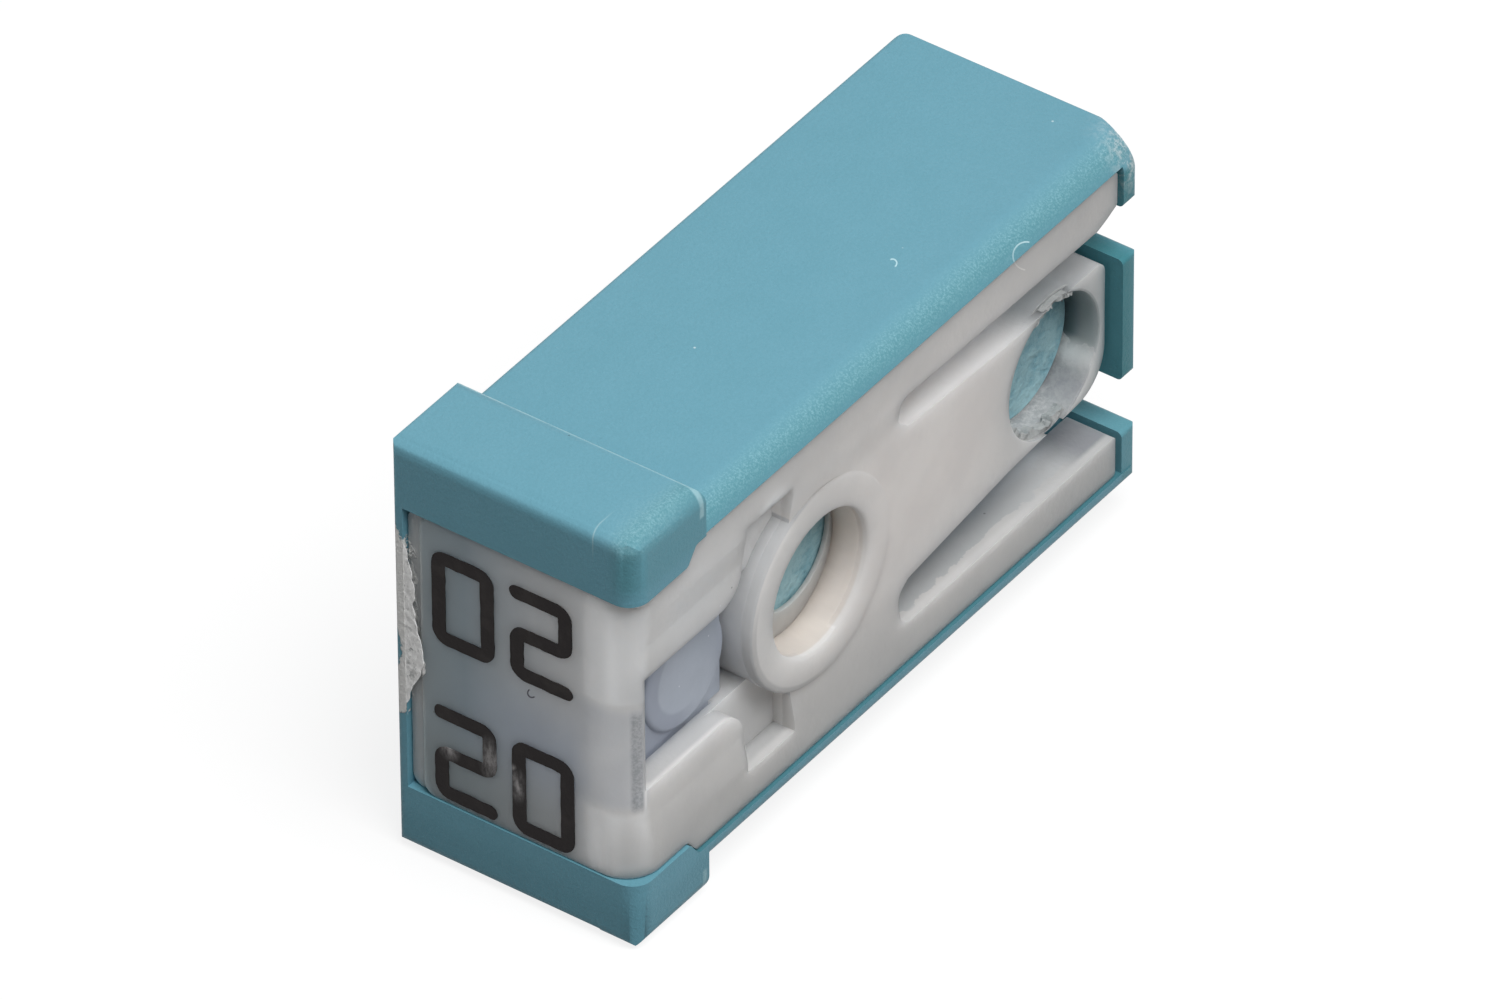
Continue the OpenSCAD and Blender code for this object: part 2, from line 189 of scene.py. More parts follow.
    def specks(self, spacing, radius, share):
        """Sparse round specks: a share of the cells of a random lattice holds one."""
        cell = self.nodes.new("ShaderNodeTexVoronoi")
        cell.inputs["Scale"].default_value = 1 / spacing
        self.links.new(self.place, cell.inputs["Vector"])
        dot = self.step(cell.outputs["Distance"], radius / spacing, radius / spacing * 0.5)
        pick = self.parts(cell.outputs["Color"])[0]
        return self.all_of(dot, self.calc("LESS_THAN", pick, share))

    # Colours are sockets or three numbers.

    def blend(self, amount, a, b):
        """Mixes two colours."""
        inputs = {0: amount}
        inputs[6] = a if isinstance(a, bpy.types.NodeSocket) else (*a, 1)
        inputs[7] = b if isinstance(b, bpy.types.NodeSocket) else (*b, 1)
        return self.node("ShaderNodeMix", inputs, 2, data_type="RGBA")

    def tint(self, colour, mask, amount=1.0):
        """Lays a colour over the finish where the mask is."""
        if amount != 1.0:
            mask = self.all_of(mask, amount)
        self.colour = self.blend(mask, self.colour, colour)

    def shades(self, value, stops):
        """A colour that follows a value through its stops: value, (red, green, blue)."""
        low, high = stops[0][0], stops[-1][0]
        along = self.node("ShaderNodeMapRange", {
            "Value": value, "From Min": low, "From Max": high}, "Result")
        made = self.nodes.new("ShaderNodeValToRGB")
        self.links.new(along, made.inputs[0])
        ramp = made.color_ramp.elements
        while len(ramp) < len(stops):
            ramp.new(0.5)
        for element, (stop, colour) in zip(ramp, stops):
            element.position = (stop - low) / (high - low)
            element.color = (*colour, 1)
        return made.outputs[0]

    def bent(self, normal, amount, toward):
        """A normal that leans towards a direction."""
        lean = self.node("ShaderNodeVectorMath", {0: toward, "Scale": amount}, 0, operation="SCALE")
        return self.vector_calc("NORMALIZE", self.vector_calc("ADD", normal, lean))

    def done(self, height, depth, normal=None):
        """Sets colour and relief: height 0 to 1 becomes `depth` mm, on the surface or a bent normal."""
        self.link("Base Color", self.colour)
        inputs = {"Height": height, "Distance": depth * MM, "Strength": 1.0}
        if normal:
            inputs["Normal"] = normal
        self.link("Normal", self.node("ShaderNodeBump", inputs, "Normal"))
        return self.material


# The torn edge on the head face beside the back wall: ragged lobes, and the gap between them.
TORN_LOBES = [
    ((0, 6.22, 1.9), 0.52, (0, 1, 0.44)),
    ((0, 6.1, 1.0), 0.38, (0, 1, 0.5)),
    ((0, 5.92, -0.12), 0.47, (0, 1, 0.60)),
    ((0, 6.15, -1.0), 0.33, (0, 1, 0.38)),
]
TORN_GAP = [((0, 6.24, -0.12), 0.24, (0, 1, 0.44))]


def torn_edge(f):
    """Where the edge beside the back wall is torn white, to a ragged depth behind the head face."""
    lobes = f.ragged(TORN_LOBES, edge=0.07, scale=3.2)
    gap = f.ragged(TORN_GAP, edge=0.05, scale=4.0)
    depth = f.calc("ADD", f.x, f.wander(edge=0.12, scale=3.0, rough=0.7))
    return f.all_of(lobes, f.outside_of(gap), f.step(depth, 0.20, 0.16))


# The way a loose fibre is seen as a round curl: the axis of its coil.
FIBRE_AXIS = Vector((0.63, 0.46, -0.63)).normalized()


def curl(f, centre, radius, width, side):
    """A short curled fibre that lies on the surface: the half of a ring towards `side`."""
    off = f.vector_calc("SUBTRACT", f.place, centre)
    far = f.vector_calc("LENGTH", f.vector_calc("CROSS_PRODUCT", off, FIBRE_AXIS), output="Value")
    ring = f.calc("ABSOLUTE", f.calc("SUBTRACT", far, radius))
    fibre = f.step(ring, width * 0.8, width * 0.4)
    half = f.step(f.vector_calc("DOT_PRODUCT", off, side, output="Value"), -0.02, 0.02)
    return f.all_of(fibre, half, f.near(centre, 1.2))


def front_curl(f):
    """The pale curl that crosses the front edge of the top plate."""
    return curl(f, centre=(14.1, 0.16, 3.86), radius=0.29, width=0.026, side=(-0.6, 0.75, 0.15))


# ---------------------------------------------------------------- the teal housing

def teal_grain_shade_and_sheen(f):
    """Faint mottling and grain, with painted shade along the top plate's rounded front edge and a
    painted sparkling highlight beside it.
    """
    f.colour = f.blend(f.noise(1.1, 3.0), (0.150, 0.365, 0.455), (0.170, 0.393, 0.492))
    f.tint((0.142, 0.345, 0.428), f.step(f.noise(15.0, 3, 0.7), 0.35, 0.65, 0.0, 0.5))
    top_plate = f.step(f.z, 3.8, 4.3)
    upper = f.any_of(f.all_of(f.step(f.x, 2.3, 2.5), top_plate), f.step(f.z, 4.85, 5.2))
    # Painted shade on the rounding of the top plate's front edge.
    f.tint((0.108, 0.298, 0.355), f.all_of(f.within(f.y, 0.0, 0.50, 0.28), top_plate))
    # A painted sparkling highlight along the front rounding of the top plate and upper rim.
    sparkle_highlight = f.step(f.noise(20.0, 4, 0.8), 0.44, 0.66, 0.1, 1.0)
    f.tint((0.33, 0.60, 0.68), f.all_of(sparkle_highlight, f.within(f.y, 0.15, 0.60, 0.22), upper), 0.55)
    return upper


def post_ends(f):
    """The rough, broken ends of the two posts inside the holes of the cover; returns their relief."""
    post = f.any_of(*[f.step(f.off_axis(x, POST_R), 0.1, 0.0) for x in (FIRST_POST, SECOND_POST)])
    post = f.all_of(post, f.within(f.y, 0.6, 1.5, 0.05))
    rough = f.noise(2.0, 5, 0.7)
    f.tint((0.42, 0.65, 0.70), f.all_of(post, f.step(rough, 0.30, 0.58, 0.25, 0.85)))
    pits = f.all_of(f.step(rough, 0.35, 0.27, 0, 0.8), f.step(f.x, 10.0, 9.0))
    f.tint((0.045, 0.125, 0.150), f.all_of(post, pits))
    # A white streak at the torn side of the second post.
    streak = f.any_of(f.near((SECOND_POST + 0.15, 1.0, 0.75), 0.30, (1, 0.1, 0.6)),
                      f.near((SECOND_POST - 0.3, 1.0, 0.2), 0.28, (1.2, 0.1, 0.6)))
    broken = f.step(f.noise(5.0, 4, 0.7), 0.36, 0.55)
    f.tint((0.80, 0.86, 0.87), f.all_of(streak, post, broken), 0.8)
    return f.all_of(post, rough, 7.0)


def mould_lines_and_corner_highlight(f, upper):
    """Pale witness lines of the mould round the rims, and a painted highlight on the front corner of the
    upper rim.
    """
    seam = f.all_of(f.within(f.x, 2.28, 2.42, 0.03), f.step(f.calc("ABSOLUTE", f.z), 4.65, 4.75))
    f.tint((0.38, 0.62, 0.68), f.all_of(seam, f.step(f.noise(3.0, 3), 0.3, 0.55, 0.35, 0.8)))
    fine_seam = f.all_of(f.within(f.y, 1.03, 1.06, 0.015), f.near((0.1, 1.0, 5.3), 0.8))
    f.tint((0.42, 0.62, 0.66), fine_seam, 0.6)
    # A painted speckled highlight on the front corner of the upper rim.
    corner = f.near((0.9, 0.1, 5.4), 1.4, (0.7, 1, 1))
    corner = f.all_of(corner, f.step(f.noise(18.0, 4, 0.8), 0.4, 0.7), upper)
    f.tint((0.36, 0.62, 0.68), corner, 0.35)


def teal_painted_shade(f, normal):
    """Painted shade: the thin feet of the tail wall are painted dark green, and the lower rim, the tail
    wall's lower end and the rim's ledge darker.
    """
    open_side = f.step(f.y, 5.4, 4.0)
    tail_wall = f.step(f.x, TAIL_WALL, TAIL_WALL + 0.10)
    feet = f.all_of(tail_wall, f.within(f.z, -2.2, 4.0, 0.1),
                    f.step(f.x, LENGTH - 0.05, LENGTH - 0.5, 0.55, 1.0), open_side)
    # Painted shade on the feet, dark green.
    f.tint((0.026, 0.180, 0.200), feet, 0.75)
    # Painted shade on the lower rim at the head and on the tail wall's lower end.
    f.tint((0.08, 0.23, 0.29), f.all_of(f.step(f.z, -4.0, -4.7), f.step(f.x, 3.0, 2.6)), 0.25)
    f.tint((0.060, 0.230, 0.235), f.all_of(tail_wall, f.step(f.z, -2.1, -2.3), open_side), 0.35)
    # Painted shade on the rim's ledge.
    ledge = f.all_of(f.step(f.parts(normal)[2], 0.1, 0.5), f.step(f.z, -3.6, -3.9),
                     f.step(f.y, 5.9, 5.5))
    f.tint((0.050, 0.165, 0.195), ledge, 0.85)


def teal_wear(f):
    """The rubbed tail corner of the top plate, dust, two fibres and the torn edge."""
    rubbed = f.all_of(f.near((LENGTH, 0.25, 4.1), 1.3), f.step(f.noise(5.0, 5, 0.75), 0.42, 0.62))
    f.tint((0.66, 0.74, 0.75), rubbed, 0.8)
    f.tint((0.60, 0.76, 0.80), f.specks(spacing=0.75, radius=0.04, share=0.2), 0.8)
    f.tint((0.03, 0.07, 0.08), f.specks(spacing=1.1, radius=0.04, share=0.12), 0.8)
    f.tint((0.66, 0.88, 0.92), front_curl(f))
    top_curl = curl(f, centre=(11.5, 1.73, 4.63), radius=0.085, width=0.026, side=(0.8, -0.5, -0.2))
    f.tint((0.50, 0.74, 0.80), top_curl)
    torn = torn_edge(f)
    f.tint((0.93, 0.93, 0.91), torn)
    return torn


def rubbed_round(f, normal):
    """Bends the normal where the head edge of the upper rim's top is rubbed round."""
    over = f.all_of(f.step(f.x, 0.45, 0.0), f.step(f.z, RIM_TOP - 0.05, RIM_TOP - 0.01))
    down = f.all_of(f.step(f.z, RIM_TOP - 0.45, RIM_TOP), f.step(f.x, 0.45, 0.05))
    normal = f.bent(normal, f.all_of(over, 0.9), (-1, 0, 0))
    return f.bent(normal, f.all_of(down, 1.25), (0, 0, 1))


def teal_plastic():
    """Satin moulded nylon: fine grain, faint mottling, painted shade and highlights, rubbed edges and
    dust.
    """
    f = Finish("teal_plastic", (0.160, 0.375, 0.470), 0.42)
    f.set(Specular_IOR_Level=0.12)
    normal = f.normal()
    upper = teal_grain_shade_and_sheen(f)
    rough_posts = post_ends(f)
    mould_lines_and_corner_highlight(f, upper)
    teal_painted_shade(f, normal)
    torn = teal_wear(f)
    relief = f.calc("ADD", f.noise(11.0, 4.0, 0.7), rough_posts)
    relief = f.calc("ADD", relief, f.all_of(torn, f.noise(8.0, 4.0, 0.7), 4.0))
    return f.done(relief, depth=0.018, normal=rubbed_round(f, normal))


# ---------------------------------------------------------------- the frosted cover

# The cover's painted light and shade on its way from the open front to the back wall, in y: bright round
# the lit front corner, dark where the hollow lies behind, light again on the clear border at the back.
COVER_LIGHT_AND_SHADE = [
    (0.3, (0.80, 0.78, 0.76)), (1.2, (0.98, 0.98, 0.98)), (2.4, (0.78, 0.80, 0.82)),
    (4.4, (0.38, 0.46, 0.51)), (5.5, (0.40, 0.47, 0.50)), (5.63, (0.94, 0.95, 0.94)),
    (5.9, (0.92, 0.92, 0.90))]


def head_wall(f, head):
    """Behind the middle of the head wall lies the window, behind its ends the two pads: painted bluish
    shade over the hollow, painted light on the pads and painted shade low down.
    """
    f.colour = f.shades(f.y, COVER_LIGHT_AND_SHADE)
    # Painted bluish shade where the window's hollow lies behind the wall.
    hollow = f.all_of(f.within(f.z, -1.85, 0.80, 0.22),
                      f.step(f.noise(0.9, 2), 0.2, 0.6, 0.8, 1.0), head)
    f.tint((0.62, 0.65, 0.70), f.all_of(hollow, f.step(f.y, 2.0, 1.2)), 0.6)
    blue_shade = f.near((0, 2.2, -1.1), 2.6, (0, 0.8, 1.1))
    f.tint((0.42, 0.51, 0.66), f.all_of(blue_shade, head, f.step(f.y, 1.0, 1.8)), 0.6)
    # Painted light on the thick pads.
    pads = f.all_of(head, f.step(f.y, 1.45, 1.27), f.any_of(
        f.within(f.z, 0.92, 3.4, 0.09), f.within(f.z, -3.5, -2.0, 0.12)))
    f.tint((1.0, 0.99, 0.98), pads, 0.9)
    # Painted shade low on the head wall.
    below = f.all_of(head, f.step(f.y, 1.3, 2.2), f.step(f.z, -1.0, -3.0), f.step(f.y, 5.62, 5.48))
    f.tint((0.28, 0.31, 0.31), below, 0.55)
    # The thin wall beside the window: a frosted speckled strip, then a painted highlight along its inner
    # edge.
    strip = f.all_of(f.within(f.x, 0.28, 0.50, 0.04), f.within(f.z, -1.9, 0.7, 0.15),
                     f.step(f.y, 0.9, 0.7))
    f.tint((0.32, 0.34, 0.36), f.all_of(strip, f.step(f.noise(14.0, 3, 0.7), 0.35, 0.65, 0.5, 0.9)))
    edge = f.all_of(f.within(f.x, 0.54, 0.62, 0.02), f.within(f.z, -2.0, 0.8, 0.15))
    f.tint((0.92, 0.92, 0.92), edge)
    return pads


def slot_walls(f, up, down):
    """Painted shade on walls that face up and painted light on those that face down, as if light fell in
    at the first and came out at the second.
    """
    # Painted shade in the lower slot: bluish grey deeper in, lighter towards its tail end.
    low_slot = f.all_of(up, f.step(f.x, 7.0, 8.5), f.step(f.z, -0.5, -1.2))
    inner = f.step(f.calc("ADD", f.y, f.wander(edge=0.12, scale=1.6)), 0.32, 0.36)
    lighter = f.all_of(f.step(f.x, 13.5, 15.5), f.step(f.x, 17.0, 16.2))
    depth = f.blend(lighter, (0.33, 0.36, 0.38), (0.58, 0.60, 0.61))
    f.tint(f.blend(inner, (0.66, 0.64, 0.62), depth), low_slot, 0.92)
    # Painted light on the upper slot's up-facing wall and on walls that face down.
    f.tint((0.95, 0.94, 0.93), f.all_of(up, f.step(f.z, 0.6, 1.2)))
    f.tint((0.98, 0.96, 0.94), down, 0.9)
    # Painted shade on the window's sill.
    window_sill = f.all_of(up, f.step(f.x, 6.0, 5.6), f.step(f.z, 0.0, -0.4))
    f.tint((0.46, 0.46, 0.46), window_sill, 0.8)
    return low_slot


def first_collar(f, normal):
    """Painted shade on the collar round the first hole: on its wall at the head side and its low outer
    edge.
    """
    reach = f.off_axis(FIRST_POST, COLLAR_R)
    sideways = f.step(f.parts(normal)[1], -0.97, -0.6)
    wall = f.all_of(f.within(reach, -0.12, 0.10, 0.03), sideways, f.step(f.x, 6.6, 5.8))
    f.tint((0.58, 0.59, 0.60), wall, 0.9)
    edge = f.all_of(f.within(reach, -0.16, -0.02, 0.04), f.step(f.y, 0.3, 0.2),
                    f.step(f.z, 1.2, -0.2), f.step(f.x, 7.2, 6.2))
    f.tint((0.36, 0.36, 0.36), edge, 0.45)


def hole_walls(f):
    """The first hole's wall is clear and warm; the second's has painted shade above, darker deeper in,
    is rough and pale below, and carries a painted glint.
    """
    first = f.all_of(f.step(f.off_axis(FIRST_POST, POST_R), 0.04, 0.0), f.step(f.y, 0.25, 0.32))
    streaks = f.noise(1.6, 3, 0.5, (1, 0.3, 1))
    f.tint(f.blend(streaks, (0.58, 0.53, 0.49), (0.82, 0.75, 0.68)), first)
    second = f.all_of(f.step(f.off_axis(SECOND_POST, POST_R), 0.06, 0.02), f.step(f.y, 0.3, 0.4))
    above = f.step(f.calc("ADD", f.z, f.wander(edge=0.18, scale=2.0, detail=3, rough=0.5)), -0.72, -0.64)
    # Painted shade on the second hole's upper wall, darker deeper in.
    dark = f.blend(f.step(f.y, 0.5, 1.3), (0.20, 0.24, 0.245), (0.085, 0.125, 0.135))
    f.tint(dark, f.all_of(second, above))
    torn = f.step(f.noise(5.0, 4, 0.7), 0.35, 0.65)
    f.tint(f.blend(torn, (0.36, 0.37, 0.37), (0.64, 0.63, 0.61)), f.all_of(second, f.outside_of(above)))
    # A painted glint low in the second hole.
    glint = f.near((SECOND_POST + 1.5, 0.8, -0.85), 0.45, (1, 0.5, 1))
    f.tint((0.98, 0.97, 0.94), f.all_of(second, glint))


def front_tints(f, up, low_slot):
    """The front is warm in the middle, with painted light on the upper pad, greyer low down and at the
    tail, and painted shade under the top lip, at the lower slot's tail end and on the middle leg's top.
    """
    front = f.step(f.y, 1.1, 0.7)
    f.tint((0.96, 0.88, 0.84), f.all_of(f.near((10.4, 0, 0.5), 4.2, (0.7, 0, 1)), front), 0.75)
    # Painted light on the upper pad.
    f.tint((0.98, 0.97, 0.96), f.all_of(f.near((2.2, 0, 2.6), 2.0, (0.8, 0, 1.2)), front))
    f.tint((0.44, 0.44, 0.435), f.all_of(f.step(f.z, -1.5, -3.3), front), 0.6)
    f.tint((0.46, 0.47, 0.47), f.all_of(f.step(f.x, 11.5, 16.5), front), 0.5)
    # Painted shade under the top plate's lip.
    f.tint((0.66, 0.63, 0.61), f.all_of(f.step(f.z, 2.9, 3.5), front, f.step(f.x, 4.0, 6.0)), 0.35)
    # Painted shade at the tail end of the lower slot and on the middle leg's top.
    f.tint((0.25, 0.26, 0.28), f.all_of(low_slot, f.step(f.x, 15.6, 16.6)), 0.85)
    leg_top = f.all_of(up, f.step(f.z, 0.6, 1.2), f.step(f.x, 13.5, 15.2))
    f.tint((0.40, 0.41, 0.42), leg_top, 0.75)


def frosted_wear(f):
    """Faint clouds, dust, two fibres and the torn edge."""
    f.tint((0.25, 0.27, 0.30), f.step(f.noise(0.7, 3.0), 0.3, 0.7, 0.0, 0.10))
    f.tint((0.16, 0.16, 0.16), f.specks(spacing=0.9, radius=0.035, share=0.10), 0.7)
    f.tint((0.95, 0.95, 0.95), f.specks(spacing=0.8, radius=0.03, share=0.12), 0.7)
    f.tint((0.97, 0.95, 0.92), front_curl(f), 0.8)
    head_curl = curl(f, centre=(PANEL_X, 2.68, 0.32), radius=0.09, width=0.025, side=(0.2, 0.6, -0.6))
    f.tint((0.10, 0.10, 0.14), head_curl)
    torn = torn_edge(f)
    f.tint(f.blend(f.noise(9.0, 3), (0.80, 0.80, 0.79), (1.0, 1.0, 0.98)), torn)
    return torn


def frosted_plastic():
    """Milky translucent nylon, with painted light where it is thick and painted bluish shade where a
    hollow lies behind.
    """
    f = Finish("frosted_plastic", (0.70, 0.68, 0.66), 0.45)
    f.set(Subsurface_Radius=(1.0, 0.95, 0.92), Subsurface_Scale=1.5 * MM, Specular_IOR_Level=0.25)
    normal = f.normal()
    facing = f.parts(normal)[2]
    head = f.step(f.x, 0.8, 0.5)
    inside = f.all_of(f.step(f.x, 0.6, 0.9), f.step(f.y, 0.2, 0.35))
    up = f.all_of(f.step(facing, 0.35, 0.9), inside)
    down = f.all_of(f.step(facing, -0.3, -0.8), inside)
    pads = head_wall(f, head)
    low_slot = slot_walls(f, up, down)
    first_collar(f, normal)
    # Painted light in the corner between the first collar and the upper edge of the dished front.
    nook = f.near((5.0, 0.4, 2.9), 0.9, (1, 0.6, 1))
    f.tint((1.0, 1.0, 1.0), nook)
    hole_walls(f)
    front_tints(f, up, low_slot)
    torn = frosted_wear(f)
    f.link("Subsurface Weight", f.step(torn, 0.2, 0.8, 0.9, 0.0))
    # Milky plastic hides low steps: light spreads round the head corner and under the collar.
    corner = f.all_of(head, f.step(f.y, 1.5, 0.9), f.step(f.y, 0.4, 0.95))
    ends = f.all_of(f.step(f.y, 1.6, 1.2), f.step(f.calc("ABSOLUTE", f.z), 2.6, 3.4))
    amount = f.any_of(0.2, pads, f.all_of(ends, 0.9))
    normal = f.bent(normal, f.all_of(corner, amount), (0, -1.0, 0.65))
    collar_face = f.all_of(f.step(f.y, 0.42, 0.34), f.step(f.x, 3.9, 4.3), f.step(facing, 0.96, 0.9))
    normal = f.bent(normal, f.all_of(collar_face, 4.0), (0, -1.0, 0))
    normal = f.bent(normal, f.all_of(nook, 1.5), (-0.1, -0.5, 0.85))
    relief = f.calc("ADD", f.noise(5.0, 3.0), f.all_of(torn, f.noise(8.0, 4.0, 0.7), 5.0))
    return f.done(relief, depth=0.012, normal=normal)


# ---------------------------------------------------------------- torn plastic, metal and ink

def torn_white(name, pale, light, lean):
    """Nylon torn white: chalky, with small dark cracks, and lit a little from within."""
    f = Finish(name, pale, 0.8)
    f.set(Specular_IOR_Level=0.1)
    f.colour = f.blend(f.noise(9.0, 3), pale, light)
    f.tint((0.22, 0.24, 0.24), f.step(f.noise(3.4, 4, 0.65), 0.42, 0.34), 0.6)
    leaning = f.bent(f.normal(), lean, (0, -0.8, 0.6))
    return f.done(f.noise(10.0, 4.0, 0.7), depth=0.04, normal=leaning)


def plated_sheet():
    """Tin-plated copper alloy sheet, dulled by handling, with faint rolling lines."""
    f = Finish("plated_sheet", (0.62, 0.65, 0.74), 0.5)
    f.set(Metallic=0.35)
    lines = f.noise(8.0, 2.0, 0.5, stretch=(0.15, 1, 1))
    f.colour = f.blend(lines, (0.62, 0.65, 0.74), (0.76, 0.79, 0.88))
    f.tint((0.40, 0.42, 0.50), f.step(f.noise(1.6, 3.0), 0.5, 0.7, 0, 0.3))
    return f.done(lines, depth=0.004)


def dull_tin():
    """Tin that has flowed and set dull, with painted shade round its head side and a painted shadow
    across its top.
    """
    f = Finish("tin", (0.50, 0.54, 0.62), 0.5)
    f.set(Metallic=0.2, Specular_IOR_Level=0.3)
    f.colour = f.blend(f.noise(1.4, 3.0, 0.6), (0.40, 0.45, 0.52), (0.50, 0.54, 0.62))
    # Painted shade round the head side of the pill.
    skin = f.all_of(f.step(f.off_axis(PILL_X, PILL_R), -0.50, -0.38),
                    f.step(f.x, PILL_X + 0.4, PILL_X - 0.4))
    f.tint((0.30, 0.33, 0.41), skin, 0.6)
    # Painted shadow of the upper pad across the top of the tin.
    f.tint((0.24, 0.25, 0.31), f.step(f.z, 0.6, 1.3, 0, 0.6))
    f.tint((0.85, 0.86, 0.90), f.specks(spacing=0.35, radius=0.025, share=0.25), 0.7)
    return f.done(f.noise(3.0, 3.0), depth=0.01)


# Where the ink is rubbed pale: point, reach and how much narrower the scuff is along each axis.
SCUFFS = [
    ((0, 4.85, -2.20), 0.36, (0, 1, 0.9)),
    ((0, 3.78, -2.0), 0.46, (0, 1.3, 0.6)),
    ((0, 3.08, -2.35), 0.30, (0, 1.2, 0.5)),
    ((0, 3.2, -1.9), 0.15, (0, 1, 1)),
]


def printed_ink():
    """Thin black ink, rubbed pale where the scuffs are."""
    f = Finish("black_ink", (0.012, 0.009, 0.009), 0.55)
    f.set(Specular_IOR_Level=0.12)
    f.tint((0.09, 0.08, 0.075), f.step(f.noise(1.7, 3), 0.45, 0.75, 0, 0.2))
    scraped = f.step(f.noise(5.0, 4, 0.7, (1, 1.4, 0.6)), 0.3, 0.75, 0.1, 0.8)
    f.tint((0.62, 0.60, 0.60), f.all_of(f.any_of(*[f.near(*scuff) for scuff in SCUFFS]), scraped))
    return f.done(f.noise(14.0, 3.0), depth=0.006)


# ---------------------------------------------------------------- the CAD pieces

EDGE_ANGLE = math.radians(40)
FLAT_ANGLE = math.radians(0.5)
WELD_GAP = 0.001


def smooth_shading():
    """A node group that shades curved faces smooth and keeps edges sharper than EDGE_ANGLE."""
    group = bpy.data.node_groups.new("smooth_shading", "GeometryNodeTree")
    for way in ("INPUT", "OUTPUT"):
        group.interface.new_socket("Geometry", in_out=way, socket_type="NodeSocketGeometry")
    nodes, link = group.nodes, group.links.new
    faces = nodes.new("GeometryNodeSetShadeSmooth")
    edges = nodes.new("GeometryNodeSetShadeSmooth")
    edges.domain = "EDGE"
    edges.inputs["Shade Smooth"].default_value = False
    angle = nodes.new("GeometryNodeInputMeshEdgeAngle")
    sharp = nodes.new("FunctionNodeCompare")
    sharp.operation = "GREATER_THAN"
    sharp.inputs[1].default_value = EDGE_ANGLE
    link(angle.outputs["Unsigned Angle"], sharp.inputs[0])
    link(sharp.outputs[0], edges.inputs["Selection"])
    link(nodes.new("NodeGroupInput").outputs[0], faces.inputs["Geometry"])
    link(faces.outputs[0], edges.inputs["Geometry"])
    link(edges.outputs[0], nodes.new("NodeGroupOutput").inputs[0])
    return group


SMOOTH = smooth_shading()


def soft_edges(piece, width):
    """Rounds the sharp edges of a piece by `width` mm."""
    soft = piece.modifiers.new("edges", "BEVEL")
    soft.width = width * MM
    soft.segments = 2
    soft.limit_method = "ANGLE"
    return soft


def finish_node(name, material, edge):
    """Gives a CAD piece its finish and softens its sharp edges by `edge` mm."""
    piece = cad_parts[name]
    piece.data.materials.clear()
    piece.data.materials.append(material)
    weld = piece.modifiers.new("weld", "WELD")
    weld.merge_threshold = WELD_GAP * MM
    flat = piece.modifiers.new("dissolve", "DECIMATE")
    flat.decimate_type = "DISSOLVE"
    flat.angle_limit = FLAT_ANGLE
    piece.modifiers.new("smooth", "NODES").node_group = SMOOTH
    soft = soft_edges(piece, edge)
    soft.angle_limit = EDGE_ANGLE
    soft.harden_normals = True


finish_node("housing", teal_plastic(), edge=0.06)
FROSTED = frosted_plastic()
finish_node("cover", FROSTED, edge=0.04)
finish_node("fuse_element", plated_sheet(), edge=0.02)


# ---------------------------------------------------------------- drawing a new piece

def flat_face(corners):
    """A bmesh with one flat face."""
    bm = bmesh.new()
    bm.faces.new([bm.verts.new((u, v, 0)) for u, v in corners])
    bm.verts.ensure_lookup_table()
    return bm


def thicken(bm, thickness):
    """Extrudes a flat drawing upwards; each vertex of the new skin rises by its own thickness."""
    bmesh.ops.triangulate(bm, faces=bm.faces[:])
    grown = bmesh.ops.extrude_face_region(bm, geom=bm.faces[:])["geom"]
    for item in grown:
        if isinstance(item, bmesh.types.BMVert):
            item.co.z += thickness(item.co)


# Where the noise that shifts an edge the second way is read.
OTHER_NOISE = Vector((9.32, -1.53, -7.95))


def roughen(bm, reach, scale, left=0.0, bottom=0.0, seed=0.0):
    """Shifts the vertices of a flat drawing that lies at left, bottom by up to about `reach` mm."""
    for vert in bm.verts:
        place = Vector((vert.co.x + left, vert.co.y + bottom, seed)) * scale
        vert.co += Vector((noise.noise(place), noise.noise(place + OTHER_NOISE), 0)) * reach


def drawn_to_place(bm, x, y, z):
    """Moves a bmesh from its own drawing, with the front up, to a place in the part."""
    for vert in bm.verts:
        across, up, out = vert.co
        vert.co = at(x + across, y - out, z + up)


def new_piece(name, bm, material):
    """Makes a piece of the object from a bmesh that is in place."""
    mesh = bpy.data.meshes.new(name)
    bm.to_mesh(mesh)
    bm.free()
    mesh.materials.append(material)
    piece = bpy.data.objects.new(name, mesh)
    bpy.context.scene.collection.objects.link(piece)
    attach(piece, "root")
    return piece


# ---------------------------------------------------------------- the tin pill

PILL_FRONT = 0.76
PILL_BACK = 1.58
PILL_ROUND = 0.12
# The domed face rises in rings of this width and height.
DOME_RINGS = 5
DOME_RING = 0.21
DOME_RISE = 0.006
# How far the set tin swells in mm, and by what share it is drawn in.
PILL_SWELL = 0.03
PILL_SHRINK = 0.02
# The skirt's middle and size, in mm along, across and out from the middle of the pill.
SKIRT_MIDDLE = Vector((0.0, -0.19, -0.05))
SKIRT_SIZE = Vector((2.80, 3.32, 0.70))
SKIRT_ROUND = 0.08


